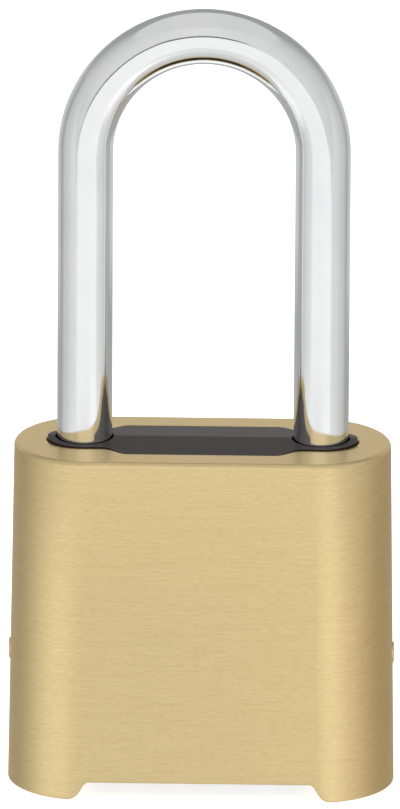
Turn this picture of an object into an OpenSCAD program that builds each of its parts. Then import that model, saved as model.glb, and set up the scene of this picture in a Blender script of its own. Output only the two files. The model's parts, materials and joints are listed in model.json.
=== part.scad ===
// Combination padlock with a solid body, a long shackle and four dials in its base.
// Millimetres. Z is up, X runs across the width and -Y is the front face.
// The origin is at the middle of the plane that the two feet stand on.

/* [Body] */
// Height of the body from the feet to the top face
body_h = 50.2; // [50.2:0.2:56]
// Width across the feet
base_w = 55.8; // [54.8:0.1:60]
// Width across the top face
top_w = 54.2; // [53.2:0.1:58]
// Depth of the body from front to back
body_d = 27; // [26:0.5:34]
// Length in X of each half-elliptic end
end_run = 11; // [6:0.5:13]
// Half the width of the notch between the feet
notch_half = 16.35; // [16.35:0.05:18]
// Height of the notch between the feet
notch_h = 2.6; // [1.5:0.05:2.6]

/* [Shackle] */
// Diameter of the shackle bar
bar_d = 7.94; // [7:0.02:7.94]
// Distance between the two leg axes
leg_pitch = 34; // [33.8:0.1:34.2]
// Height of the centre of the arch
arch_z = 92.8; // [65:0.1:120]
// Height of the lower end of the long leg
heel_z = 21.4; // [21.4:0.1:21.8]
// Height of the lower end of the short leg
toe_z = 37.5; // [37:0.1:39]
// Upward travel of the shackle when it opens
lift = 14; // [12:0.5:14]
// Radial clearance of a leg in its bore
leg_play = 0.08; // [0.05:0.01:0.15]

/* [Top guard] */
// Radius of the collars round the legs
collar_r = 5.4; // [5:0.05:6]
// Half the width of the middle of the guard
guard_half = 8.25; // [6:0.05:8.3]
// Height of the ridge above the top face
ridge_rise = 0.6; // [0.2:0.1:1.5]
// Gap between the guard and the body
guard_gap = 0.12; // [0.05:0.01:0.25]

/* [Dials] */
// Number of dials
dial_count = 4; // [4:1:4]
// Outer radius of a dial
dial_r = 9.8; // [9.5:0.1:9.9]
// Thickness of a dial
dial_t = 4.8; // [4.4:0.1:4.8]
// Distance from one dial to the next
dial_pitch = 6.3; // [6.3:0.1:6.3]
// Height of the dial shaft
shaft_z = 10.4; // [10.4:0.1:10.5]
// Number of digits round a dial
digits = 10; // [10:1:10]
// Depth of the finger flutes
flute_depth = 0.7; // [0.4:0.1:0.8]
// Radius of the dial shaft
shaft_r = 2; // [1.5:0.1:2.2]
// Outer radius of a tumbler
tumbler_r = 6.5; // [6.5:0.1:6.5]

/* [Pins] */
// Radius of the side pins that hold the dial cage
pin_r = 1.55; // [1:0.05:1.6]
// Height of the side pins
pin_z = 18.9; // [18.5:0.1:18.9]
// How far a pin end stands out of the side
pin_proud = 0.2; // [0:0.05:0.4]

/* [Hidden] */

$fn = 64;
brass = "#b8965a";
chrome = "#c9ccd0";
black = "#2e2e30";
zinc = "#9a9c9e";
steel = "#8b8f94";

eps = 0.5;                                    // overshoot of a cut past a face
leg_x = leg_pitch / 2;
bar_r = bar_d / 2;
bore_r = bar_r + leg_play;
lean = atan((base_w - top_w) / 2 / body_h);   // inward lean of each side
end_steps = 28;                               // flats round each half-elliptic end

// Cavities in the body
chamber_x = 16.3;
chamber_y = 10.8;
chamber_z = 21.2;
cavity_x = 14.5;
cavity_y = 8.8;
cavity_z = 44;
bore_floor_z = 21;

// Guard outline: a wide middle that narrows in an S-curve to the two collars
wide_x = 10.6;
neck_x = 14.3;
neck_half = collar_r - 0.1;
curve_steps = 10;
leg_hole_gap = 0.28;
flange_x = 12.4;

// Dial row
row_x = (dial_count - 1) / 2 * dial_pitch;
step = 360 / digits;
flute_r = 1.3;
flute_ring_r = dial_r - flute_depth + flute_r;
dial_chamfer = 0.4;
key_w = 1;
key_r = 7.2;
run_fit = 0.05;                               // running clearance on the shaft
shaft_end = 16.1;
clip_x = 15.83;
clip_t = 0.35;
clip_r = 3.2;
gate_y = 4.5;                                 // distance of the gate flat from the shaft

// Dial cage
wall_in = 13.7;
wall_out = 15.6;
cage_y = chamber_y - 0.2;
roof_z = 20.5;
roof_top = 21.1;
pad_x = 12.3;
pad_y = 8;
pad_top = 22.6;
slot_half = 0.85;                             // half the width of a comb slot
leaf_slot_half = 1.6;
cage_bore_x = 14.5;                           // inner end of each pin hole
bezel_top = 3.5;
window_half = dial_t / 2 + 0.3;
window_y = 7.5;
mark_x = 14.2;                                // index marks at the two ends of the row

// Fence comb
finger_w = 1.1;
finger_front = 8;
finger_back = 6.9;
hook_tip = 4.7;
hook_z = 3.9;
hook_top = 5.7;
bar_z = 23.1;
bar_top = 28;
bar_front = 8.6;
plate_top = 24.9;
fork_half = 3.1;
fork_tip = 1.5;                               // reach of the fork past the leg axis
arm_x0 = 9.4;
arm_x1 = 13.2;
flange_z = bar_top + lift + 0.3;              // the comb stops just under the guard's flange

// Heel neck of the shackle
foot_top = 22.9;
neck_top = 25.1;
neck_r = 2;

// Lock frame
frame_x0 = -14.3;
frame_x1 = 8.8;
frame_front = 6.6;
frame_back = 8.5;
frame_z = 22.7;
frame_top = flange_z - 0.1;
screw_x = dial_pitch;
screw_y = 5.5;
screw_r = 0.8;
screw_head_z = 25;
screw_head_r = 1.6;
screw_grip = 1.6;                             // depth of a screw in the cage
core_x0 = -8.6;                               // hollow that lightens the frame
core_x1 = 7;
core_front = 4.4;
core_back = 2.6;
core_z = 26.4;

// Toe detent
notch_z = 40;
toe_edge = -leg_x + bar_r;                    // inner side of the short leg
detent_nose_r = 0.8;
nose_x = toe_edge + 0.23;
leaf_t = 0.4;
leaf_x = -11.2;
leaf_half = 1.8;
pocket_z = 32.6;
pocket_x0 = -13.8;
pocket_x1 = -10.6;
pocket_half = 2.1;

function dial_x(i) = -row_x + (i - 1) * dial_pitch;
function gap_x(i) = dial_x(i) + dial_pitch / 2;

// Box given by its two opposite corners
module span(low, high) {
    translate(low)
        cube(high - low);
}

// Cylinder along X between two places, round a line at height z
module rod_x(x0, x1, r, y, z) {
    translate([x0, y, z])
        rotate([0, 90, 0])
            cylinder(r = r, h = x1 - x0);
}

// One end of the body: a half ellipse swept along the leaning side
module body_side(side) {
    arc = [for (i = [0:end_steps]) let (a = -90 + 180 * i / end_steps)
        [side * end_run * cos(a), body_d / 2 * sin(a)]];
    inner = -side * (base_w / 2 - end_run);
    translate([-inner, 0, 0])
        rotate([0, -side * lean, 0])
            linear_extrude(height = 3 * body_h, center = true)
                polygon(concat(arc, [[inner, body_d / 2], [inner, -body_d / 2]]));
}

module guard_outline(inset) {
    s_curve = [for (i = [0:curve_steps]) let (t = i / curve_steps)
        [wide_x + (neck_x - wide_x) * t,
         neck_half + (guard_half - neck_half) * (1 + cos(180 * t)) / 2 - inset]];
    quarter = concat(s_curve, [[leg_x, neck_half - inset]]);
    last = len(quarter) - 1;
    polygon(concat(
        quarter,
        [for (i = [0:last]) [quarter[last - i][0], -quarter[last - i][1]]],
        [for (p = quarter) [-p[0], -p[1]]],
        [for (i = [0:last]) [-quarter[last - i][0], quarter[last - i][1]]]
    ));
    for (side = [-1, 1])
        translate([side * leg_x, 0])
            circle(r = collar_r - inset);
}

module body_shell() {
    color(brass)
        difference() {
            intersection() {
                union() {
                    body_side(1);
                    body_side(-1);
                }
                span([-base_w, -body_d, 0], [base_w, body_d, body_h]);
            }
            span([-notch_half, -body_d, -eps], [notch_half, body_d, notch_h]);
            span([-chamber_x, -chamber_y, -eps], [chamber_x, chamber_y, chamber_z]);
            span([-cavity_x, -cavity_y, bore_floor_z], [cavity_x, cavity_y, cavity_z]);
            for (side = [-1, 1]) {
                translate([side * leg_x, 0, bore_floor_z])
                    cylinder(r = bore_r, h = cavity_z - bore_floor_z + eps);
                translate([0, 0, pin_z])
                    rotate([0, side * 90, 0])
                        cylinder(r = pin_r + 0.01, h = base_w);
            }
            translate([0, 0, cavity_z])
                linear_extrude(height = body_h)
                    guard_outline(0);
        }
}

module top_guard() {
    edge_z = body_h - 0.05;
    color(black)
        difference() {
            union() {
                intersection() {
                    translate([0, 0, cavity_z])
                        linear_extrude(height = body_h)
                            guard_outline(guard_gap);
                    rotate([90, 0, 90])
                        linear_extrude(height = 2 * base_w, center = true)
                            polygon([
                                [-guard_half, cavity_z], [guard_half, cavity_z], [guard_half, edge_z],
                                [0, body_h + ridge_rise], [-guard_half, edge_z]
                            ]);
                }
                span([-flange_x, -frame_back, flange_z], [flange_x, frame_back, cavity_z]);
            }
            for (side = [-1, 1])
                translate([side * leg_x, 0, flange_z - eps])
                    cylinder(r = bar_r + leg_hole_gap, h = body_h);
        }
}

// Cast block that fills the upper cavity and guides the comb
module lock_frame() {
    toe_room_z = toe_z - 1;
    color(zinc)
        difference() {
            span([frame_x0, -frame_front, frame_z], [frame_x1, frame_back, frame_top]);
            translate([-leg_x, 0, toe_room_z])
                cylinder(r = bar_r + 0.3, h = body_h);
            span([pocket_x0, -pocket_half, pocket_z], [pocket_x1, pocket_half, frame_top + eps]);
            span([core_x0, -core_front, core_z], [core_x1, core_back, frame_top + eps]);
            for (side = [-1, 1])
                translate([side * screw_x, screw_y, frame_z - eps]) {
                    cylinder(r = screw_r + 0.1, h = body_h);
                    translate([0, 0, screw_head_z - frame_z + eps])
                        cylinder(r = screw_head_r + 0.2, h = body_h);
                }
        }
}

module frame_screws() {
    color(steel)
        for (side = [-1, 1])
            translate([side * screw_x, screw_y, 0])
                difference() {
                    union() {
                        translate([0, 0, pad_top - screw_grip])
                            cylinder(r = screw_r, h = screw_head_z - pad_top + screw_grip);
                        translate([0, 0, screw_head_z])
                            cylinder(r = screw_head_r, h = 1.2);
                    }
                    span([-screw_head_r, -0.2, screw_head_z + 0.6], [screw_head_r, 0.2, screw_head_z + 2]);
                }
}

// Two end walls and a slotted roof that carry the dials as one cartridge
module dial_cage() {
    color(zinc)
        difference() {
            union() {
                for (side = [-1, 1])
                    span([min(side * wall_in, side * wall_out), -cage_y, bezel_top],
                         [max(side * wall_in, side * wall_out), cage_y, roof_top]);
                span([-wall_out, -cage_y, roof_z], [wall_out, cage_y, roof_top]);
                span([-pad_x, -pad_y, roof_z], [pad_x, pad_y, pad_top]);
            }
            rod_x(-chamber_x, chamber_x, shaft_r + run_fit, 0, shaft_z);
            for (i = [1:dial_count]) {
                span([gap_x(i) - slot_half, -cage_y - eps, roof_z - eps],
                     [gap_x(i) + slot_half, -hook_tip + 0.4, pad_top + eps]);
                span([dial_x(i) - leaf_slot_half, leaf_slot_half, roof_z - eps],
                     [dial_x(i) + leaf_slot_half, pad_y + eps, pad_top + eps]);
            }
            for (side = [-1, 1]) {
                translate([side * screw_x, screw_y, roof_z - eps])
                    cylinder(r = screw_r, h = pad_top);
                translate([side * cage_bore_x, 0, pin_z])
                    rotate([0, side * 90, 0])
                        cylinder(r = pin_r + 0.01, h = wall_out);
            }
        }
}

module dial_shaft() {
    color(steel)
        difference() {
            rod_x(-shaft_end, shaft_end, shaft_r, 0, shaft_z);
            for (side = [-1, 1])
                translate([side * clip_x, 0, shaft_z])
                    rotate([0, 90, 0])
                        difference() {
                            cylinder(r = shaft_r + eps, h = clip_t + 0.02, center = true);
                            cylinder(r = shaft_r - 0.4, h = 1, center = true);
                        }
        }
}

module shaft_clips() {
    color(steel)
        for (side = [-1, 1])
            translate([side * clip_x, 0, shaft_z])
                rotate([0, 90, 0])
                    difference() {
                        cylinder(r = clip_r, h = clip_t, center = true);
                        cylinder(r = shaft_r - 0.38, h = 1, center = true);
                        span([0, -1.3, -clip_t], [clip_r + eps, 1.3, clip_t]);
                    }
}

// Two spring washers, back to back, that press the tumblers together
module tumbler_spring() {
    t = 0.3;
    rise = 0.9;
    color(steel)
        translate([-wall_in + 0.02, 0, shaft_z])
            rotate([0, 90, 0])
                rotate_extrude()
                    for (flip = [0, 1])
                        translate([0, flip * 2 * rise])
                            mirror([0, flip])
                                polygon([[2.3, 0], [2.3, t], [5.4, rise], [5.4, rise - t]]);
}

module bottom_bezel() {
    color(black)
        difference() {
            span([-chamber_x + 0.1, -cage_y, notch_h], [chamber_x - 0.1, cage_y, bezel_top]);
            for (i = [1:dial_count])
                span([dial_x(i) - window_half, -window_y, -eps],
                     [dial_x(i) + window_half, window_y, 2 * bezel_top]);
            for (side = [-1, 1])
                translate([side * mark_x, 0, notch_h])
                    cube([2.2, 0.6, 0.6], center = true);
        }
}

module side_pin(side) {
    inner_x = 14.6;
    outer_x = base_w / 2 - pin_z * tan(lean) + pin_proud;
    color(brass)
        translate([side * inner_x, 0, pin_z])
            rotate([0, side * 90, 0])
                cylinder(r = pin_r, h = outer_x - inner_x);
}

// Leaf with a nose that rests in a notch of the short leg
module toe_detent_spring() {
    color(steel) {
        span([leaf_x, -leaf_half, pocket_z], [leaf_x + leaf_t, leaf_half, notch_z + 0.8]);
        span([nose_x, -leaf_half, notch_z - 0.3], [leaf_x, leaf_half, notch_z + 0.3]);
        translate([nose_x, 0, notch_z])
            rotate([90, 0, 0])
                cylinder(r = detent_nose_r, h = 2 * leaf_half, center = true);
    }
}

// Leaf with a nose that drops into the flutes of one dial
module detent_spring(i) {
    nose_ring = flute_ring_r - 0.4;
    color(steel)
        translate([dial_x(i), 0, 0]) {
            span([-1.3, 2.4, roof_z - 0.3], [1.3, 10.2, roof_z]);
            rod_x(-1.3, 1.3, flute_r - 0.5, nose_ring * sin(step / 2), shaft_z + nose_ring * cos(step / 2));
        }
}

module shackle() {
    tip_chamfer = 0.8;
    color(chrome) {
        translate([0, 0, arch_z])
            rotate([90, 0, 0])
                rotate_extrude(angle = 180)
                    translate([leg_x, 0])
                        circle(r = bar_r);
        translate([leg_x, 0, 0]) {
            translate([0, 0, heel_z])
                cylinder(r = bar_r, h = foot_top - heel_z);
            translate([0, 0, foot_top])
                cylinder(r = neck_r, h = neck_top - foot_top);
            translate([0, 0, neck_top])
                cylinder(r = bar_r, h = arch_z - neck_top);
        }
        difference() {
            translate([-leg_x, 0, toe_z])
                rotate_extrude()
                    polygon([[0, 0], [bar_r - tip_chamfer, 0], [bar_r, tip_chamfer],
                             [bar_r, arch_z - toe_z], [0, arch_z - toe_z]]);
            translate([toe_edge + 0.41, 0, notch_z])
                rotate([0, 45, 0])
                    cube([2, 3 * bar_r, 2], center = true);
        }
    }
}

// Bar that rides on the neck of the long leg, with one hooked finger for each tumbler
module fence_comb() {
    left_x = gap_x(1) - 1.2;
    color(steel)
        difference() {
            union() {
                span([left_x, -bar_front, bar_z], [arm_x1, -finger_back, bar_top]);
                span([arm_x0, -bar_front, bar_z], [arm_x1, fork_half, plate_top]);
                span([arm_x0, -fork_half, bar_z], [leg_x + fork_tip, fork_half, plate_top]);
                for (i = [1:dial_count])
                    translate([gap_x(i) - finger_w / 2, 0, 0]) {
                        span([0, -finger_front, hook_z], [finger_w, -finger_back, bar_z + eps]);
                        span([0, -finger_front, hook_z], [finger_w, -hook_tip, hook_top]);
                    }
            }
            translate([leg_x, 0, bar_z - eps])
                cylinder(r = neck_r + 0.08, h = 3);
            span([leg_x, -neck_r - 0.08, bar_z - eps], [leg_x + 4, neck_r + 0.08, plate_top + eps]);
        }
}

module dial(i) {
    edge_r = dial_r - dial_chamfer;
    half_t = dial_t / 2;
    color(black)
        translate([dial_x(i), 0, shaft_z])
            rotate([0, 90, 0])
                difference() {
                    rotate_extrude()
                        polygon([
                            [0, -half_t], [edge_r, -half_t], [dial_r, -half_t + dial_chamfer],
                            [dial_r, half_t - dial_chamfer], [edge_r, half_t], [0, half_t]
                        ]);
                    cylinder(r = tumbler_r + 0.1, h = 2 * dial_t, center = true);
                    for (k = [0:digits - 1]) {
                        rotate([0, 0, k * step])
                            span([tumbler_r - 0.5, -key_w / 2, -dial_t], [key_r, key_w / 2, dial_t]);
                        rotate([0, 0, (k + 0.5) * step])
                            translate([flute_ring_r, 0, 0])
                                cylinder(r = flute_r, h = 2 * dial_t, center = true);
                    }
                }
}

// Sleeve keyed inside a dial, with a gate flat in the part that shows beside the dial
module tumbler(i) {
    half_t = dial_t / 2;
    length = dial_pitch - run_fit;
    color(zinc)
        translate([dial_x(i), 0, shaft_z])
            rotate([0, 90, 0])
                difference() {
                    union() {
                        translate([0, 0, -half_t])
                            cylinder(r = tumbler_r, h = length);
                        span([-key_r + 0.1, -key_w / 2 + 0.1, -half_t],
                             [-tumbler_r + 0.5, key_w / 2 - 0.1, half_t]);
                    }
                    cylinder(r = shaft_r + run_fit, h = 4 * dial_t, center = true);
                    span([-dial_r, -dial_r, half_t + 0.1], [dial_r, -gate_y, dial_pitch]);
                }
}

body_shell();
top_guard();
lock_frame();
frame_screws();
dial_cage();
dial_shaft();
shaft_clips();
tumbler_spring();
bottom_bezel();
side_pin(-1);  // side_pin_left
side_pin(1);  // side_pin_right
toe_detent_spring();
detent_spring(1);  // detent_spring_1
detent_spring(2);  // detent_spring_2
detent_spring(3);  // detent_spring_3
detent_spring(4);  // detent_spring_4
shackle();
fence_comb();
dial(1);  // dial_1
dial(2);  // dial_2
dial(3);  // dial_3
dial(4);  // dial_4
tumbler(1);  // tumbler_1
tumbler(2);  // tumbler_2
tumbler(3);  // tumbler_3
tumbler(4);  // tumbler_4
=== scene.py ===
"""Looks of the combination padlock: brass body, chromed shackle, black guard, bezel and dials.

Shapes are worked out in millimetres from the boxes of the CAD nodes and stored in metres.
"""

import json
from math import asin, cos, pi, radians, sin, tan

import bmesh
import bpy
from mathutils import Matrix, Vector


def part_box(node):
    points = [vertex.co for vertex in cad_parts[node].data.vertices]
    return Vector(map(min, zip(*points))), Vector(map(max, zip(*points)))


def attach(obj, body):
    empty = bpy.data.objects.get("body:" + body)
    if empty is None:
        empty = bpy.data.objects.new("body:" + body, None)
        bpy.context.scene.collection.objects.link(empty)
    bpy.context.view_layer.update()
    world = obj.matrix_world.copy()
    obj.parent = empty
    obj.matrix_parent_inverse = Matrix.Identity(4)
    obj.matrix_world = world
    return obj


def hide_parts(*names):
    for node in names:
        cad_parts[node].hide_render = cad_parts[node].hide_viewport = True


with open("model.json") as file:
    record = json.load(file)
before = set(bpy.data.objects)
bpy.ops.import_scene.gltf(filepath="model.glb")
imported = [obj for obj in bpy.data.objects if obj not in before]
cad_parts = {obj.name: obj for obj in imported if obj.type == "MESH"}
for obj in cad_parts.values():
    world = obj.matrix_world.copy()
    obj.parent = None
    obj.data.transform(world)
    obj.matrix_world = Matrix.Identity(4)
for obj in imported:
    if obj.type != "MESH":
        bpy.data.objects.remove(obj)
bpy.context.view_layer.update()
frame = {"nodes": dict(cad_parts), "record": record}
SCENE = bpy.context.scene
MM = 0.001


def box_mm(node):
    """Lowest and highest corner of a CAD node, in millimetres."""
    low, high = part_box(node)
    return low / MM, high / MM


# ---------------------------------------------------------------- sizes, millimetres

BODY_TOP = box_mm("body_shell")[1].z
BASE_HALF = box_mm("body_shell")[1].x
DEPTH_HALF = box_mm("body_shell")[1].y
END_RUN = 11.0            # length in X of each elliptic end
FLAT_HALF = BASE_HALF - END_RUN
LEAN = 0.8 / 50.2         # how far a side leans in for each millimetre of height
NOTCH_HALF = 16.35
NOTCH_TOP = box_mm("bottom_bezel")[0].z
NOTCH_SLOPE = radians(60)  # steepest part of a foot's inner side
NOTCH_FILLET = 0.9        # rounding under the notch's ceiling
FOOT_FILLET = 2.2         # rounding of a foot's inner corner
EDGE = 0.2                # rounding of the lower edges
TOP_EDGE = 0.7            # rounding of the edge round the top face
WALL_ROWS = (4.0, 16.0, 34.0)  # heights of the rings between the rounded edges
CHAMBER = (16.3, 10.8, 21.2)  # half length, half depth and top of the space for the dials
CAVITY = (14.5, 8.8)      # half length and half depth of the space above it
CAVITY_TOP = 44.0
BORE_FLOOR = 21.0

LEG_X = 17.0
BAR_R = box_mm("shackle")[1].y
ARCH_Z = box_mm("shackle")[1].z - LEG_X - BAR_R
HEEL_Z = box_mm("shackle")[0].z
TOE_Z = 37.5
NECK = (22.9, 25.1, 2.0)  # lower end, upper end and radius of the neck of the long leg
NOTCH_Z = 40.0            # detent notch of the short leg

COLLAR_R = 5.4
GUARD_HALF = 8.25
GUARD_GAP = 0.12
RIDGE_Z = BODY_TOP + 0.6
GUARD_EDGE_Z = BODY_TOP - 0.05
FLANGE_LOW = box_mm("top_guard")[0]

SHAFT_Z = 10.4
DIAL_R = 9.8
DIAL_HALF = 2.4
DIAL_BORE_R = 6.6
KEY_SLOT_R = 7.2
FLUTE_DEPTH = 0.7
DIGITS = 10
STEP = 2 * pi / DIGITS
DIAL_NAMES = sorted(name for name in frame["nodes"] if name.startswith("dial_") and name[-1].isdigit())
PIN_R = 1.55
PIN_Z = 18.9
MARK_X = 14.2             # middle of each index mark


# ---------------------------------------------------------------- mesh helpers

def new_object(name, verts, faces, crease=32.0):
    """Mesh object from points in millimetres, smooth except across edges sharper than crease degrees."""
    mesh = bpy.data.meshes.new(name)
    mesh.from_pydata([Vector(v) * MM for v in verts], [], faces)
    obj = bpy.data.objects.new(name, mesh)
    SCENE.collection.objects.link(obj)
    tidy_mesh(obj, crease)
    return obj


def tidy_mesh(obj, crease=32.0):
    """Merges doubled points, faces normals outwards and sets which edges look sharp."""
    bm = bmesh.new()
    bm.from_mesh(obj.data)
    bmesh.ops.remove_doubles(bm, verts=bm.verts, dist=1e-7)
    bmesh.ops.dissolve_degenerate(bm, edges=bm.edges, dist=1e-7)
    bmesh.ops.recalc_face_normals(bm, faces=bm.faces)
    bm.to_mesh(obj.data)
    bm.free()
    obj.data.shade_smooth()
    obj.data.set_sharp_from_angle(angle=radians(crease))


def loft(name, rings, closed=False, crease=32.0):
    """Skin over a row of rings with equal numbers of points; closed joins the last ring to the first."""
    count = len(rings[0])
    verts = [v for ring in rings for v in ring]
    faces = []
    last = len(rings) if closed else len(rings) - 1
    for r in range(last):
        a, b = r * count, (r + 1) % len(rings) * count
        for i in range(count):
            j = (i + 1) % count
            faces.append((a + i, a + j, b + j, b + i))
    if not closed:
        faces.append(tuple(range(count)))
        faces.append(tuple(range(len(verts) - count, len(verts))))
    return new_object(name, verts, faces, crease)


def ring_z(x, y, z, r, count=96):
    """Level ring round a vertical axis."""
    turns = [2 * pi * i / count for i in range(count)]
    return [(x + r * cos(t), y + r * sin(t), z) for t in turns]


def ring_x(x, y, z, r, count=64):
    """Upright ring round an axis along X."""
    turns = [2 * pi * i / count for i in range(count)]
    return [(x, y + r * cos(t), z + r * sin(t)) for t in turns]


def block(name, low, high):
    """Plain box, used only to cut or to be cut."""
    ring = [(low[0], low[1]), (high[0], low[1]), (high[0], high[1]), (low[0], high[1])]
    return loft(name, [[(x, y, z) for x, y in ring] for z in (low[2], high[2])])


def apply_modifiers(obj, crease=32.0):
    """Turns the modified shape into the object's own mesh."""
    depsgraph = bpy.context.evaluated_depsgraph_get()
    mesh = bpy.data.meshes.new_from_object(obj.evaluated_get(depsgraph))
    obj.modifiers.clear()
    obj.data = mesh
    tidy_mesh(obj, crease)


def carve(obj, tools, operation="DIFFERENCE", crease=32.0):
    """Cuts the tools out of the object, or joins or intersects them, and removes the tools."""
    for tool in tools:
        modifier = obj.modifiers.new("carve", "BOOLEAN")
        modifier.operation = operation
        modifier.solver = "EXACT"
        modifier.object = tool
    apply_modifiers(obj, crease)
    for tool in tools:
        bpy.data.objects.remove(tool)


def round_edges(obj, width, segments=3):
    """Bevel on the sharper edges, width in millimetres."""
    modifier = obj.modifiers.new("round_edges", "BEVEL")
    modifier.width = width * MM
    modifier.segments = segments
    modifier.limit_method = "ANGLE"
    modifier.angle_limit = radians(34)
    modifier.harden_normals = False
    apply_modifiers(obj)


def even_shading(obj):
    """Lets the large faces set the normals, so flats stay flat up to their rounded edges."""
    modifier = obj.modifiers.new("even_shading", "WEIGHTED_NORMAL")
    modifier.keep_sharp = True
    modifier.weight = 80


def finish_piece(obj, body, slot, material, *nodes):
    """Gives a piece its material and body, and hides the CAD nodes that it stands for; the slot is not used.
    """
    even_shading(obj)
    obj.data.materials.clear()
    obj.data.materials.append(material)
    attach(obj, body)
    if nodes:
        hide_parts(*nodes)
    return obj


# ---------------------------------------------------------------- material helpers

class Shader:
    """A material's node tree, with short calls for the nodes that the finishes share."""

    def __init__(self, name):
        """New material with a principled shader."""
        self.material = bpy.data.materials.new(name)
        self.material.use_nodes = True
        self.tree = self.material.node_tree
        self.surface = self.tree.nodes["Principled BSDF"]

    def node(self, kind, **settings):
        """New node with its settings."""
        node = self.tree.nodes.new(kind)
        for key, value in settings.items():
            setattr(node, key, value)
        return node

    def link(self, output, socket):
        """Joins an output to an input."""
        self.tree.links.new(output, socket)

    def points(self, scale):
        """Object coordinates stretched by a scale for each axis, per metre."""
        coordinates = self.node("ShaderNodeTexCoord")
        mapping = self.node("ShaderNodeMapping")
        mapping.inputs["Scale"].default_value = scale
        self.link(coordinates.outputs["Object"], mapping.inputs["Vector"])
        return mapping.outputs["Vector"]

    def noise(self, scale, detail=3.0, roughness=0.55):
        """Noise value over object coordinates; scale is per metre, one number or one for each axis."""
        noise = self.node("ShaderNodeTexNoise")
        noise.inputs["Scale"].default_value = 1.0
        noise.inputs["Detail"].default_value = detail
        noise.inputs["Roughness"].default_value = roughness
        axes = (scale,) * 3 if isinstance(scale, (int, float)) else scale
        self.link(self.points(axes), noise.inputs["Vector"])
        return noise.outputs["Fac"]

    def ramp(self, value, *stops):
        """Colour ramp from (position, colour) stops; a colour is a grey number or three numbers."""
        ramp = self.node("ShaderNodeValToRGB")
        while len(ramp.color_ramp.elements) < len(stops):
            ramp.color_ramp.elements.new(0.5)
        for element, (position, colour) in zip(ramp.color_ramp.elements, stops):
            element.position = position
            rgb = (colour,) * 3 if isinstance(colour, (int, float)) else colour
            element.color = (*rgb, 1.0)
        self.link(value, ramp.inputs["Fac"])
        return ramp.outputs["Color"]

    def math(self, operation, a, b=None):
        """Math node over one or two numbers or sockets."""
        node = self.node("ShaderNodeMath", operation=operation)
        for socket, value in zip(node.inputs, (a, b)):
            if isinstance(value, (int, float)):
                socket.default_value = value
            elif value is not None:
                self.link(value, socket)
        return node.outputs[0]

    def mix(self, factor, a, b, blend="MIX"):
        """Colour mix of two sockets or colours."""
        node = self.node("ShaderNodeMix", data_type="RGBA", blend_type=blend)
        for socket, value in ((node.inputs[0], factor), (node.inputs[6], a), (node.inputs[7], b)):
            if isinstance(value, (int, float)):
                socket.default_value = value
            elif isinstance(value, tuple):
                socket.default_value = (*value, 1.0)
            else:
                self.link(value, socket)
        return node.outputs[2]

    def spread(self, value, low, high):
        """The value 0 to 1 mapped to low to high."""
        node = self.node("ShaderNodeMapRange")
        node.inputs["To Min"].default_value = low
        node.inputs["To Max"].default_value = high
        self.link(value, node.inputs["Value"])
        return node.outputs["Result"]

    def bump(self, *layers):
        """Stacked bumps; a layer is (height socket, distance in millimetres)."""
        normal = None
        for height, distance in layers:
            bump = self.node("ShaderNodeBump")
            bump.inputs["Strength"].default_value = 1.0
            bump.inputs["Distance"].default_value = distance * MM
            self.link(height, bump.inputs["Height"])
            if normal:
                self.link(normal, bump.inputs["Normal"])
            normal = bump.outputs["Normal"]
        self.link(normal, self.surface.inputs["Normal"])

    def set(self, **constants):
        """Constants on the surface's own sockets."""
        for name, value in constants.items():
            self.surface.inputs[name.replace("_", " ")].default_value = value

    def facing_up(self):
        """1 where the surface faces up or down, 0 on upright walls."""
        geometry = self.node("ShaderNodeNewGeometry")
        split = self.node("ShaderNodeSeparateXYZ")
        self.link(geometry.outputs["Normal"], split.inputs[0])
        upright = self.math("ABSOLUTE", split.outputs["Z"])
        return self.math("GREATER_THAN", upright, 0.75)

    def edge_wear(self, reach=0.2):
        """1 along edges, where a normal softened over a reach in millimetres turns from the true one."""
        soft = self.node("ShaderNodeBevel", samples=6)
        soft.inputs["Radius"].default_value = reach * MM
        geometry = self.node("ShaderNodeNewGeometry")
        alike = self.node("ShaderNodeVectorMath", operation="DOT_PRODUCT")
        self.link(soft.outputs["Normal"], alike.inputs[0])
        self.link(geometry.outputs["Normal"], alike.inputs[1])
        return self.ramp(alike.outputs["Value"], (0.90, 1.0), (0.99, 0.0))


def brushed_brass():
    """Satin brass with fine level brushing round the walls and along X on the top face."""
    s = Shader("brushed_brass")
    up = s.facing_up()
    wall_lines = s.noise((130, 130, 4600), 6.0, 0.7)
    top_lines = s.noise((130, 4600, 130), 6.0, 0.7)
    wall_fine = s.noise((900, 900, 5600), 2.0)
    top_fine = s.noise((900, 5600, 900), 2.0)
    lines = s.mix(up, wall_lines, top_lines)
    fine = s.mix(up, wall_fine, top_fine)
    cloud = s.noise(55, 4.0)
    grain = s.mix(0.5, lines, fine)
    tone = s.ramp(grain, (0.32, (0.625, 0.483, 0.237)), (0.68, (0.785, 0.627, 0.337)))
    tone = s.mix(s.spread(cloud, 0.0, 0.35), tone, (0.68, 0.535, 0.275))
    # lighter brass along the edges: rubbed wear, and partly a painted highlight that brightens the rounded
    # edges
    tone = s.mix(s.math("MULTIPLY", s.edge_wear(), 0.35), tone, (0.86, 0.72, 0.46))
    s.link(tone, s.surface.inputs["Base Color"])
    s.link(s.spread(s.mix(0.5, lines, cloud), 0.22, 0.36), s.surface.inputs["Roughness"])
    s.set(Metallic=1.0, Anisotropic=0.5, Specular_Tint=(1.0, 0.93, 0.80, 1.0))
    geometry = s.node("ShaderNodeNewGeometry")
    level = s.node("ShaderNodeVectorMath", operation="CROSS_PRODUCT")
    level.inputs[0].default_value = (0.0, 0.0, 1.0)
    s.link(geometry.outputs["Normal"], level.inputs[1])
    s.link(s.mix(up, level.outputs[0], (1.0, 0.0, 0.0)), s.surface.inputs["Tangent"])
    s.bump((lines, 0.006), (fine, 0.004))
    return s.material


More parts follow.
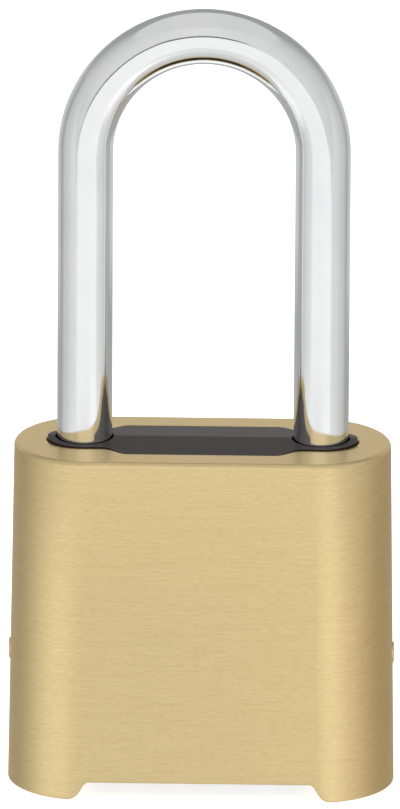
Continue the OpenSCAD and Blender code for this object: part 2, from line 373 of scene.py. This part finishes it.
def turned_brass():
    """Brass pin ends, duller than the body."""
    s = Shader("turned_brass")
    turning = s.noise((900, 5200, 5200), 4.0)
    tone = s.ramp(turning, (0.3, (0.60, 0.48, 0.30)), (0.7, (0.74, 0.61, 0.40)))
    s.link(tone, s.surface.inputs["Base Color"])
    s.link(s.spread(s.noise(700), 0.3, 0.5), s.surface.inputs["Roughness"])
    s.set(Metallic=1.0)
    s.bump((turning, 0.01))
    return s.material


def chrome_plate():
    """Bright chrome over a drawn bar, with faint waves, pits and hairline scratches."""
    s = Shader("chrome_plate")
    waves = s.noise((260, 260, 60), 2.0)
    pits = s.noise(4200, 4.0, 0.7)
    hair = s.noise((5200, 5200, 130), 3.0)
    pit_mask = s.ramp(pits, (0.68, 0.0), (0.78, 1.0))
    tone = s.ramp(s.noise(140, 3.0), (0.3, (0.80, 0.815, 0.82)), (0.7, (0.86, 0.865, 0.86)))
    tone = s.mix(s.math("MULTIPLY", pit_mask, 0.25), tone, (0.55, 0.54, 0.52))
    s.link(tone, s.surface.inputs["Base Color"])
    s.link(s.spread(hair, 0.05, 0.13), s.surface.inputs["Roughness"])
    s.set(Metallic=1.0)
    s.bump((waves, 0.03), (hair, 0.0012), (pit_mask, -0.002))
    return s.material


def moulded_plastic(name, dark, light, rough_low, rough_high, grain_mm, ior):
    """Moulded black plastic with fine spark-eroded grain, flow marks and rubbed edges."""
    s = Shader(name)
    grain = s.noise(5200, 3.0, 0.6)
    flow = s.noise((60, 240, 240), 4.0)
    tone = s.ramp(flow, (0.3, dark), (0.75, light))
    tone = s.mix(s.math("MULTIPLY", s.edge_wear(), 0.5), tone, (0.16, 0.16, 0.165))
    s.link(tone, s.surface.inputs["Base Color"])
    s.link(s.spread(s.mix(0.5, flow, grain), rough_low, rough_high), s.surface.inputs["Roughness"])
    s.set(IOR=ior, Specular_Tint=(1.0, 0.94, 0.90, 1.0))
    s.bump((grain, grain_mm), (flow, 0.01))
    return s.material


def digit_paint():
    """Off-white paint wiped into the moulded digits and marks."""
    s = Shader("digit_paint")
    patches = s.noise(1800, 4.0)
    tone = s.ramp(patches, (0.3, (0.66, 0.65, 0.60)), (0.65, (0.82, 0.81, 0.77)))
    s.link(tone, s.surface.inputs["Base Color"])
    s.link(s.spread(patches, 0.45, 0.65), s.surface.inputs["Roughness"])
    s.bump((patches, 0.01))
    return s.material


def cast_zinc():
    """Grey die-cast zinc with a chilled skin."""
    s = Shader("cast_zinc")
    skin = s.noise(900, 5.0, 0.6)
    tone = s.ramp(skin, (0.3, (0.42, 0.43, 0.44)), (0.7, (0.56, 0.57, 0.58)))
    s.link(tone, s.surface.inputs["Base Color"])
    s.link(s.spread(skin, 0.42, 0.62), s.surface.inputs["Roughness"])
    s.set(Metallic=0.9)
    s.bump((skin, 0.02))
    return s.material


def spring_steel():
    """Drawn steel for springs, screws, clips, the shaft and the comb."""
    s = Shader("spring_steel")
    drawn = s.noise((160, 4200, 4200), 4.0)
    tone = s.ramp(drawn, (0.3, (0.44, 0.45, 0.47)), (0.7, (0.62, 0.63, 0.64)))
    s.link(tone, s.surface.inputs["Base Color"])
    s.link(s.spread(drawn, 0.22, 0.38), s.surface.inputs["Roughness"])
    s.set(Metallic=1.0)
    s.bump((drawn, 0.004))
    return s.material


# ---------------------------------------------------------------- brass body

def notch_wall(steps=6):
    """Inner side of a foot, from the sole up to the notch's ceiling, as (x, z, inward x, inward z)."""
    ceiling_x = NOTCH_HALF - 0.5
    low_z = FOOT_FILLET * (1 - cos(NOTCH_SLOPE))
    high_z = NOTCH_TOP - NOTCH_FILLET * (1 - cos(NOTCH_SLOPE))
    high_x = ceiling_x + NOTCH_FILLET * sin(NOTCH_SLOPE)
    foot_x = high_x + (high_z - low_z) / tan(NOTCH_SLOPE) + FOOT_FILLET * sin(NOTCH_SLOPE)
    line = []
    for i in range(steps + 1):
        a = NOTCH_SLOPE * i / steps
        line.append((foot_x - FOOT_FILLET * sin(a), FOOT_FILLET * (1 - cos(a)), sin(a), cos(a)))
    for i in range(steps, -1, -1):
        a = NOTCH_SLOPE * i / steps
        x, z = ceiling_x + NOTCH_FILLET * sin(a), NOTCH_TOP - NOTCH_FILLET * (1 - cos(a))
        line.append((x, z, sin(a), cos(a)))
    return line


def end_turn(x):
    """Angle round the elliptic end at x, 0 on the flat face and a quarter turn at the tip."""
    return asin(max(0.0, x - FLAT_HALF) / END_RUN)


def lower_edge():
    """Half of the body's lower edge from the tip of the right end to the middle.

    Each entry is (angle round the elliptic end, x, z, inward x, inward z).
    """
    wall = notch_wall()
    foot_turn = end_turn(wall[0][0])
    end_steps = 36
    line = []
    for i in range(end_steps):
        turn = pi / 2 + (foot_turn - pi / 2) * i / end_steps
        line.append((turn, FLAT_HALF + END_RUN * sin(turn), 0.0, 0.0, 1.0))
    line += [(end_turn(entry[0]), *entry) for entry in wall]
    line += [(0.0, x, NOTCH_TOP, 0.0, 1.0) for x in (11.0, 5.5, 0.0)]
    return line


def wall_point(column, side, depth, inset, z=None):
    """Point on the wall above one entry of the lower edge.

    depth goes into the metal from the lower edge, inset goes in from the wall,
    and z, if given, is the height of a point further up.
    """
    mirror, (turn, x, low, in_x, in_z) = column
    if z is None:
        x, z = x + in_x * depth, low + in_z * depth
    normal = Vector((sin(turn) / END_RUN, cos(turn) / DEPTH_HALF)).normalized()
    x -= inset * normal.x
    y = DEPTH_HALF * cos(turn) - inset * normal.y
    x -= LEAN * z * min(1.0, max(0.0, (x - 8.0) / 7.0))
    return (mirror * x, side * y, z)


def body_blank():
    """The body's outer skin with the notch, feet and rounded edges, before it is bored."""
    half = lower_edge()
    row = [(1, entry) for entry in half] + [(-1, entry) for entry in reversed(half[:-1])]
    columns = [(column, -1) for column in row] + [(column, 1) for column in reversed(row[1:-1])]
    arcs = [pi / 2 * i / 5 for i in range(6)]
    rings = []
    for a in arcs:
        rings.append([wall_point(c, side, EDGE * (1 - cos(a)), EDGE * (1 - sin(a))) for c, side in columns])
    for z in WALL_ROWS:
        rings.append([wall_point(c, side, 0, 0, z) for c, side in columns])
    for a in arcs:
        z = BODY_TOP - TOP_EDGE * (1 - sin(a))
        rings.append([wall_point(c, side, 0, TOP_EDGE * (1 - cos(a)), z) for c, side in columns])
    count = len(columns)
    verts = [v for ring in rings for v in ring]
    faces = []
    for r in range(len(rings) - 1):
        for i in range(count):
            j = (i + 1) % count
            faces.append((r * count + i, r * count + j, (r + 1) * count + j, (r + 1) * count + i))
    faces.append(tuple(range(len(verts) - count, len(verts))))
    last = len(row) - 1
    for i in range(last):                          # the underside, from the front edge to the back edge
        back_i = (count - i) % count
        back_j = (count - i - 1) % count
        corners = [i, i + 1]
        if i + 1 < last:
            corners.append(back_j)
        if i > 0:
            corners.append(back_i)
        faces.append(tuple(corners))
    return new_object("brass_body", verts, faces)


def guard_outline(outset=0.0):
    """Outline of the opening in the top face, moved outwards by outset."""
    wide_x, neck_x, neck_half = 10.6, 14.3, COLLAR_R - 0.1
    quarter = [(x, GUARD_HALF) for x in (0.0, 4.0, 8.0)]
    for i in range(17):
        t = i / 16
        y = neck_half + (GUARD_HALF - neck_half) * (1 + cos(pi * t)) / 2
        quarter.append((wide_x + (neck_x - wide_x) * t, y))
    start = pi - asin(neck_half / COLLAR_R)
    for i in range(41):
        a = start * (1 - i / 40)
        quarter.append((LEG_X + COLLAR_R * cos(a), COLLAR_R * sin(a)))
    loop = list(quarter)
    loop += [(x, -y) for x, y in reversed(quarter[:-1])]
    loop += [(-x, -y) for x, y in quarter[1:]]
    loop += [(-x, y) for x, y in reversed(quarter[1:-1])]
    moved = []
    for i, (x, y) in enumerate(loop):
        before, after = loop[i - 1], loop[(i + 1) % len(loop)]
        along = Vector((after[0] - before[0], after[1] - before[1])).normalized()
        moved.append((x - along.y * outset, y + along.x * outset))
    return moved


def outline_loft(name, levels):
    """Solid over the guard's outline; levels are (outset, z)."""
    return loft(name, [[(x, y, z) for x, y in guard_outline(outset)] for outset, z in levels])


def brass_body():
    """Brass block with the dial chamber, the cavity, the top opening and the holes cut into it."""
    body = body_blank()
    lip = 0.16                                     # broken edge round the top opening
    wide, deep, roof = CHAMBER
    cavity_wide, cavity_deep = CAVITY
    tools = [
        block("cut_chamber", (-wide, -deep, -1.0), (wide, deep, roof)),
        block("cut_cavity",
              (-cavity_wide, -cavity_deep, BORE_FLOOR), (cavity_wide, cavity_deep, CAVITY_TOP)),
        outline_loft("cut_opening",
                     [(0, CAVITY_TOP - 0.01), (0, BODY_TOP - lip), (2 * lip, BODY_TOP + lip)]),
    ]
    for side in (-1, 1):
        bore = [ring_z(side * LEG_X, 0, z, BAR_R + 0.08) for z in (BORE_FLOOR, CAVITY_TOP + 0.5)]
        tools.append(loft("cut_bore", bore))
        pin_levels = [(14.3, 0.02), (27.3, 0.02), (28.3, 0.6)]
        tools.append(loft("cut_pin", [ring_x(side * x, 0, PIN_Z, PIN_R + gap) for x, gap in pin_levels]))
    carve(body, tools, crease=30.0)
    return body


def side_pin(side):
    """Pin with a broken edge and a shallow centre mark in its outer end."""
    outer = BASE_HALF - LEAN * PIN_Z + 0.2
    profile = [(14.6, PIN_R - 0.2), (14.8, PIN_R), (outer - 0.16, PIN_R), (outer - 0.05, PIN_R - 0.05),
               (outer, PIN_R - 0.18), (outer, 0.35), (outer - 0.12, 0.12)]
    return loft("pin_" + ("left", "right")[side > 0], [ring_x(side * x, 0, PIN_Z, r) for x, r in profile])


# ---------------------------------------------------------------- shackle

def shackle_ring(centre_x, z, r, lean):
    """Ring of the bar where its outward direction is at the angle lean above +X."""
    turns = [2 * pi * i / 96 for i in range(96)]
    return [(centre_x + r * cos(t) * cos(lean), r * sin(t), z + r * cos(t) * sin(lean)) for t in turns]


def shackle_piece():
    """Bar with a grooved heel, a round bow and a chamfered toe with its detent notch."""
    neck_low, neck_high, neck_r = NECK
    soft = 0.25
    leg_start = neck_high + soft
    heel = [(HEEL_Z, BAR_R - 0.5), (HEEL_Z + 0.5, BAR_R), (neck_low - soft, BAR_R), (neck_low, BAR_R - soft),
            (neck_low, neck_r), (neck_high, neck_r), (neck_high, BAR_R - soft), (leg_start, BAR_R)]
    rings = [shackle_ring(LEG_X, z, r, 0.0) for z, r in heel]
    leg_levels = 12
    rings += [shackle_ring(LEG_X, leg_start + (ARCH_Z - leg_start) * i / leg_levels, BAR_R, 0.0)
              for i in range(1, leg_levels)]
    bow_steps = 96
    for i in range(bow_steps + 1):
        a = pi * i / bow_steps
        rings.append(shackle_ring(LEG_X * cos(a), ARCH_Z + LEG_X * sin(a), BAR_R, a))
    chamfer = 0.8
    rings += [shackle_ring(-LEG_X, ARCH_Z + (TOE_Z + chamfer - ARCH_Z) * i / leg_levels, BAR_R, pi)
              for i in range(1, leg_levels + 1)]
    toe = [(TOE_Z + 0.5 * chamfer, BAR_R - 0.3 * chamfer), (TOE_Z + 0.12, BAR_R - 0.8 * chamfer),
           (TOE_Z, BAR_R - chamfer - 0.1)]
    rings += [shackle_ring(-LEG_X, z, r, pi) for z, r in toe]
    bar = loft("shackle_bar", rings)
    notch_x = -LEG_X + BAR_R + 0.41
    half = 2 ** 0.5
    diamond = [(notch_x - half, NOTCH_Z), (notch_x, NOTCH_Z - half),
               (notch_x + half, NOTCH_Z), (notch_x, NOTCH_Z + half)]
    tool = loft("cut_notch", [[(x, y, z) for x, z in diamond] for y in (-6.0, 6.0)])
    carve(bar, [tool])
    return bar


# ---------------------------------------------------------------- top guard

def guard_piece():
    """Black guard: roof-shaped middle, collars round the legs and a flange under the body's lip."""
    guard = outline_loft("leg_guard", [(-GUARD_GAP, CAVITY_TOP + 0.01), (-GUARD_GAP, BODY_TOP + 2)])
    slope = (RIDGE_Z - GUARD_EDGE_Z) / GUARD_HALF
    soft = 0.5                                     # half the width of the rounded ridge
    roof = [(-9.0, CAVITY_TOP - 1), (-9.0, RIDGE_Z - 9.0 * slope)]
    for i in range(9):
        y = soft * (i / 4 - 1)
        roof.append((y, RIDGE_Z - slope * (y * y / (2 * soft) + soft / 2)))
    roof += [(9.0, RIDGE_Z - 9.0 * slope), (9.0, CAVITY_TOP - 1)]
    prism = loft("cut_roof", [[(x, y, z) for y, z in roof] for x in (-24.0, 24.0)])
    carve(guard, [prism], "INTERSECT")
    low, high = FLANGE_LOW, CAVITY_TOP + 0.2
    carve(guard, [block("add_flange", (-12.4, low.y, low.z), (12.4, -low.y, high))], "UNION")
    holes = [loft("cut_leg", [ring_z(side * LEG_X, 0, z, BAR_R + 0.28) for z in (low.z - 1, BODY_TOP + 3)])
             for side in (-1, 1)]
    carve(guard, holes)
    round_edges(guard, 0.14)
    return guard


# ---------------------------------------------------------------- dials and bezel

def dial_centre(name):
    """X of a dial's middle, from its CAD box."""
    low, high = box_mm(name)
    return (low.x + high.x) / 2


def rim_radius(angle):
    """Radius of a dial's rim with soft flutes halfway between the digits."""
    flute_half = radians(8.2)
    from_flute = (angle % STEP) - STEP / 2
    if abs(from_flute) >= flute_half:
        return DIAL_R
    return DIAL_R - FLUTE_DEPTH * (1 + cos(pi * from_flute / flute_half)) / 2


def bore_radius(angle):
    """Radius of a dial's bore with a key slot under each digit."""
    slot_half = radians(4.4)
    from_digit = (angle + STEP / 2) % STEP - STEP / 2
    return KEY_SLOT_R if abs(from_digit) < slot_half else DIAL_BORE_R


def dial_piece(name):
    """Dial with fluted rim and rounded shoulders."""
    centre = dial_centre(name)
    count = 720
    angles = [2 * pi * i / count for i in range(count)]
    corner = 0.45
    arc = [pi / 2 * i / 4 for i in range(5)]
    profile = [(-DIAL_HALF + corner * (1 - sin(a)), corner * (1 - cos(a))) for a in reversed(arc)]
    profile += [(0.0, 0.0)]
    profile += [(DIAL_HALF - corner * (1 - sin(a)), corner * (1 - cos(a))) for a in arc]

    def around(x, radius, drop=0.0):
        """Ring at x from the dial's middle, drop millimetres under the radius that a function gives."""
        reach = [(a, radius(a) - drop) for a in angles]
        return [(centre + x, r * sin(a), SHAFT_Z - r * cos(a)) for a, r in reach]

    rings = [around(x, rim_radius, drop) for x, drop in profile]
    rings += [around(DIAL_HALF, bore_radius), around(-DIAL_HALF, bore_radius)]
    return loft(name + "_wheel", rings, closed=True, crease=38.0)


def flat_digit(text, height):
    """Mesh of one digit standing in the XY plane, centred, in millimetres."""
    curve = bpy.data.curves.new("digit", "FONT")
    curve.body = text
    curve.size = height / 0.7                      # capitals are about 0.7 of the type size
    curve.align_x = "CENTER"
    curve.align_y = "CENTER"
    curve.extrude = 0.06
    curve.offset = 0.02
    curve.resolution_u = 6
    obj = bpy.data.objects.new("digit", curve)
    SCENE.collection.objects.link(obj)
    depsgraph = bpy.context.evaluated_depsgraph_get()
    bm = bmesh.new()
    bm.from_mesh(bpy.data.meshes.new_from_object(obj.evaluated_get(depsgraph)))
    bpy.data.objects.remove(obj)
    for cut in range(-8, 9):                       # enough rows to bend round the rim
        every = bm.verts[:] + bm.edges[:] + bm.faces[:]
        bmesh.ops.bisect_plane(bm, geom=every, plane_co=(0, cut * height / 12, 0), plane_no=(0, 1, 0))
    return bm


def dial_digits(name):
    """The digits 0 to 9 wrapped round a dial, the zero at the bottom, read with the front face upwards."""
    centre = dial_centre(name)
    joined = bmesh.new()
    for k in range(DIGITS):
        bm = flat_digit(str(k), 2.7)
        for vert in bm.verts:
            angle = k * STEP - vert.co.y / DIAL_R
            radius = DIAL_R - 0.035 + vert.co.z
            place = Vector((centre + vert.co.x, radius * sin(angle), SHAFT_Z - radius * cos(angle)))
            vert.co = place * MM
        mesh = bpy.data.meshes.new("digit")
        bm.to_mesh(mesh)
        bm.free()
        joined.from_mesh(mesh)
    mesh = bpy.data.meshes.new(name + "_digits")
    joined.to_mesh(mesh)
    joined.free()
    obj = bpy.data.objects.new(name + "_digits", mesh)
    SCENE.collection.objects.link(obj)
    tidy_mesh(obj)
    return obj


def bezel_piece():
    """Bezel plate with a window for each dial and a groove for each index mark."""
    low, high = box_mm("bottom_bezel")
    plate = block("dial_bezel", low, high)
    half_x, half_y = 2.7, 7.5                      # half sizes of a window
    tools = []
    for name in DIAL_NAMES:
        x = dial_centre(name)
        tools.append(block("cut_window", (x - half_x, -half_y, 0), (x + half_x, half_y, 5)))
    for x in (-MARK_X, MARK_X):
        tools.append(block("cut_mark", (x - 1.1, -0.3, 0), (x + 1.1, 0.3, NOTCH_TOP + 0.3)))
    carve(plate, tools)
    round_edges(plate, 0.12)
    return plate


def index_marks():
    """Painted bars in the bezel's grooves that show the row to read."""
    low, high = NOTCH_TOP + 0.08, NOTCH_TOP + 0.3
    half_x, half_y = 1.05, 0.24
    marks = block("index_marks", (MARK_X - half_x, -half_y, low), (MARK_X + half_x, half_y, high))
    other = block("other_mark", (-MARK_X - half_x, -half_y, low), (-MARK_X + half_x, half_y, high))
    carve(marks, [other], "UNION")
    round_edges(marks, 0.06, 2)
    return marks


# ---------------------------------------------------------------- studio

BRIGHTEST = 1.5           # light level that white stands for in the tent's ramps
TENT_RADIUS, TENT_LOW, TENT_HIGH = 120.0, -60.0, 300.0
TENT_SPAN = TENT_HIGH - TENT_LOW

# Light levels round the tent: (bearing in degrees from the front, positive to the right, level).
SKIRT = ((-180, 0.45), (-138, 0.50), (-119, 0.42), (-97, 0.62), (-77, 0.92), (-60, 1.10), (-45, 1.10),
         (-30, 0.98), (-14, 0.88), (0, 0.87), (10, 0.93), (20, 1.10), (32, 1.20), (42, 1.16), (52, 1.00),
         (64, 0.90), (77, 0.78), (91, 0.62), (105, 0.48), (120, 0.46), (180, 0.45))
WALL = ((-180, 0.46), (-137, 0.46), (-115, 0.42), (-104, 0.44), (-97, 0.60), (-75, 0.69), (-61, 0.79),
        (-46, 0.83), (-36, 1.00), (-30, 1.03), (0, 1.03), (34, 1.06), (40, 1.05), (48, 0.82), (66, 0.78),
        (85, 0.66), (94, 0.64), (102, 0.56), (111, 0.43), (140, 0.42), (180, 0.46))
CANOPY = ((-180, 0.37), (-130, 0.39), (-90, 0.62), (-40, 0.76), (0, 0.82), (40, 0.76), (90, 0.62),
          (130, 0.39), (180, 0.37))
BEHIND = ((-180, 1.0), (-130, 0.8), (-110, 0.0), (110, 0.0), (130, 0.8), (180, 1.0))
SEAM = ((-44, 0.0), (-36, 0.6), (-28, 1.0), (5, 1.0), (15, 0.0))
# Height in millimetres of the wall's top edge, by bearing.
WALL_TOP = ((-75, 139), (-44, 62), (-39, 79), (-35, 97), (-28, 113), (-20, 126), (-13, 137), (0, 138),
            (10, 136), (18, 120), (23, 100), (28, 76), (44, 60), (75, 139))
# Tint of the skirt by bearing.
WARMTH = ((42, 1.0), (84, (1.0, 0.91, 0.84)), (114, (1.0, 0.90, 0.77)), (150, 1.0))


def by_bearing(s, turn, stops, scale=BRIGHTEST):
    """Value over scale by bearing, from (bearing, value) stops; turn is 0.5 at the front."""
    return s.ramp(turn, *[(degrees / 360 + 0.5, value / scale) for degrees, value in stops])


def studio_world():
    """White backdrop for the camera; a pale room, dimmer behind, for soft light on everything."""
    world = bpy.data.worlds.new("studio")
    SCENE.world = world
    world.use_nodes = True
    nodes, links = world.node_tree.nodes, world.node_tree.links
    nodes.clear()
    coordinates = nodes.new("ShaderNodeTexCoord")
    split = nodes.new("ShaderNodeSeparateXYZ")
    depth = nodes.new("ShaderNodeMapRange")
    depth.inputs["From Min"].default_value = -1.0
    ramp = nodes.new("ShaderNodeValToRGB")
    front, back = ramp.color_ramp.elements
    front.position, front.color = 0.35, (0.68, 0.69, 0.70, 1.0)
    back.position, back.color = 0.68, (0.37, 0.37, 0.37, 1.0)
    room = nodes.new("ShaderNodeBackground")
    backdrop = nodes.new("ShaderNodeBackground")
    backdrop.inputs["Color"].default_value = (1.0, 1.0, 1.0, 1.0)
    ray = nodes.new("ShaderNodeLightPath")
    choose = nodes.new("ShaderNodeMixShader")
    output = nodes.new("ShaderNodeOutputWorld")
    links.new(coordinates.outputs["Generated"], split.inputs[0])
    links.new(split.outputs["Y"], depth.inputs["Value"])
    links.new(depth.outputs["Result"], ramp.inputs["Fac"])
    links.new(ramp.outputs["Color"], room.inputs["Color"])
    links.new(ray.outputs["Is Camera Ray"], choose.inputs["Fac"])
    links.new(room.outputs[0], choose.inputs[1])
    links.new(backdrop.outputs[0], choose.inputs[2])
    links.new(choose.outputs[0], output.inputs["Surface"])


def tent_colour(s):
    """Light over the tent: skirt below, wall with a slanted top edge, canopy, lid and base."""
    coordinates = s.node("ShaderNodeTexCoord")
    split = s.node("ShaderNodeSeparateXYZ")
    s.link(coordinates.outputs["Object"], split.inputs[0])
    bearing = s.math("ARCTAN2", split.outputs["X"], s.math("MULTIPLY", split.outputs["Y"], -1.0))
    turn = s.math("ADD", s.math("DIVIDE", bearing, 2 * pi), 0.5)
    rise = s.node("ShaderNodeMapRange")
    rise.inputs["From Min"].default_value = TENT_LOW * MM
    rise.inputs["From Max"].default_value = TENT_HIGH * MM
    s.link(split.outputs["Z"], rise.inputs["Value"])
    height = rise.outputs["Result"]

    def above(z, blur):
        """0 below z, 1 above it, changing over blur millimetres."""
        start, end = z - blur / 2 - TENT_LOW, z + blur / 2 - TENT_LOW
        return s.ramp(height, (start / TENT_SPAN, 0.0), (end / TENT_SPAN, 1.0))

    warmth = s.ramp(turn, *[(0.5 + degrees / 360, tint) for degrees, tint in WARMTH])
    skirt = s.mix(1.0, by_bearing(s, turn, SKIRT), warmth, "MULTIPLY")
    tone = s.mix(above(20, 24), skirt, by_bearing(s, turn, WALL))

    band = s.math("MULTIPLY", above(42, 12), s.math("SUBTRACT", 1.0, above(126, 22)))
    band = s.math("MULTIPLY", band, by_bearing(s, turn, BEHIND, 1.0))
    tone = s.mix(band, tone, (0.46, 0.46, 0.46))   # brighter band behind, for the top face

    wall_top = by_bearing(s, turn, WALL_TOP, TENT_SPAN)
    over = s.math("SUBTRACT", height, s.math("SUBTRACT", wall_top, TENT_LOW / TENT_SPAN))
    over = s.math("MULTIPLY", over, TENT_SPAN)     # millimetres above the wall's top edge
    tone = s.mix(s.math("ADD", s.math("DIVIDE", over, 5.0), 0.5), tone, by_bearing(s, turn, CANOPY))

    from_seam = s.math("ABSOLUTE", s.math("ADD", over, 3.0))
    seam = s.math("MAXIMUM", s.math("SUBTRACT", 1.6, s.math("DIVIDE", from_seam, 4.5)), 0.0)
    tone = s.mix(s.math("MULTIPLY", seam, by_bearing(s, turn, SEAM, 1.0)), tone, (0.01, 0.01, 0.01))

    tone = s.mix(above(252, 24), tone, (0.49, 0.49, 0.49))
    depth = s.math("ADD", s.math("MULTIPLY", split.outputs["Y"], 4.0), 0.5)
    base = s.ramp(depth, (0.02, 0.53), (0.44, 0.40), (0.5, 0.75), (1.0, 0.75))
    return s.mix(above(-55, 4), base, tone)


def light_tent():
    """Round tent close about the lock that only its reflections show, brightest in front."""
    tent = loft("light_tent", [ring_z(0, 0, z, TENT_RADIUS) for z in (TENT_LOW, TENT_HIGH)])
    s = Shader("tent_fabric")
    glow = s.node("ShaderNodeEmission")
    glow.inputs["Strength"].default_value = BRIGHTEST
    s.link(tent_colour(s), glow.inputs["Color"])
    s.link(glow.outputs[0], s.tree.nodes["Material Output"].inputs["Surface"])
    tent.data.materials.append(s.material)
    tent.visible_camera = False
    tent.visible_diffuse = False
    tent.visible_shadow = False
    tent.visible_transmission = False


def studio_floor():
    """Pale floor that shows to the camera and takes soft shadows."""
    size = 3000.0
    floor = new_object("studio_floor", [(-size, -size, -0.02), (size, -size, -0.02), (size, size, -0.02),
                                        (-size, size, -0.02)], [(0, 1, 2, 3)])
    s = Shader("pale_floor")
    tone = s.ramp(s.noise(3.0), (0.3, 0.90), (0.7, 0.93))
    s.link(tone, s.surface.inputs["Base Color"])
    s.set(Roughness=0.9, Emission_Color=(1.0, 1.0, 1.0, 1.0), Emission_Strength=0.8)
    floor.data.materials.append(s.material)
    floor.visible_glossy = False
    floor.visible_shadow = False


def overhead_light():
    """Large soft lamp overhead, left out of reflections."""
    data = bpy.data.lights.new("overhead_softbox", "AREA")
    data.size = 1.2
    data.energy = 9.0
    lamp = bpy.data.objects.new("overhead_softbox", data)
    place, target = Vector((0, 0.1, 1.4)), Vector((0, 0, 0.05))
    lamp.location = place
    lamp.rotation_mode = "QUATERNION"
    lamp.rotation_quaternion = (target - place).to_track_quat("-Z", "Y")
    lamp.visible_glossy = False
    SCENE.collection.objects.link(lamp)


def camera():
    """Long lens, a little above and to the right of the front."""
    elevation, azimuth, roll = radians(14.61), radians(1.31), radians(0.34)
    distance = 2.0
    target = Vector((-0.00043, 0.0, 0.0555))
    back = Vector((sin(azimuth) * cos(elevation), -cos(azimuth) * cos(elevation), sin(elevation)))
    data = bpy.data.cameras.new("camera")
    data.sensor_fit = "VERTICAL"
    data.sensor_width = data.sensor_height = 36.0
    frame_height = 809 / 6.959 * MM                # what the frame's height spans at the target
    data.lens = data.sensor_height * distance / frame_height
    data.clip_start, data.clip_end = 0.1, 20.0
    obj = bpy.data.objects.new("camera", data)
    obj.location = target + back * distance
    obj.rotation_mode = "QUATERNION"
    turned = Matrix.Rotation(roll, 3, "Z").to_quaternion()
    obj.rotation_quaternion = (-back).to_track_quat("-Z", "Y") @ turned
    SCENE.collection.objects.link(obj)
    SCENE.camera = obj


# ---------------------------------------------------------------- assembly

SCENE.view_settings.view_transform = "Standard"
SCENE.view_settings.look = "None"
camera()
studio_world()
studio_floor()
light_tent()
overhead_light()

BRASS = brushed_brass()
CHROME = chrome_plate()
BLACK = moulded_plastic("guard_black", (0.019, 0.0145, 0.012), (0.029, 0.022, 0.018),
                        rough_low=0.32, rough_high=0.44, grain_mm=0.010, ior=1.22)
DIAL_BLACK = moulded_plastic("dial_black", (0.016, 0.016, 0.017), (0.026, 0.026, 0.027),
                             rough_low=0.28, rough_high=0.40, grain_mm=0.003, ior=1.46)
PAINT = digit_paint()
PIN_BRASS = turned_brass()
INNER = {"cast_zinc": cast_zinc(), "spring_steel": spring_steel()}

finish_piece(brass_body(), "body", "body_brass", BRASS, "body_shell")
finish_piece(side_pin(-1), "body", "body_brass", PIN_BRASS, "side_pin_left")
finish_piece(side_pin(1), "body", "body_brass", PIN_BRASS, "side_pin_right")
finish_piece(shackle_piece(), "shackle", "shackle_chrome", CHROME, "shackle")
finish_piece(guard_piece(), "body", "guard_plastic", BLACK, "top_guard")
finish_piece(bezel_piece(), "body", "guard_plastic", BLACK, "bottom_bezel")
finish_piece(index_marks(), "body", "digit_white", PAINT)
for dial in DIAL_NAMES:
    finish_piece(dial_piece(dial), dial, "dial_plastic", DIAL_BLACK, dial)
    finish_piece(dial_digits(dial), dial, "digit_white", PAINT)

for part in frame["record"]["subparts"]:           # the inner pieces keep their CAD shapes
    if part["material_slot"] in INNER:
        cad = frame["nodes"][part["node"]]
        cad.data.materials.clear()
        cad.data.materials.append(INNER[part["material_slot"]])
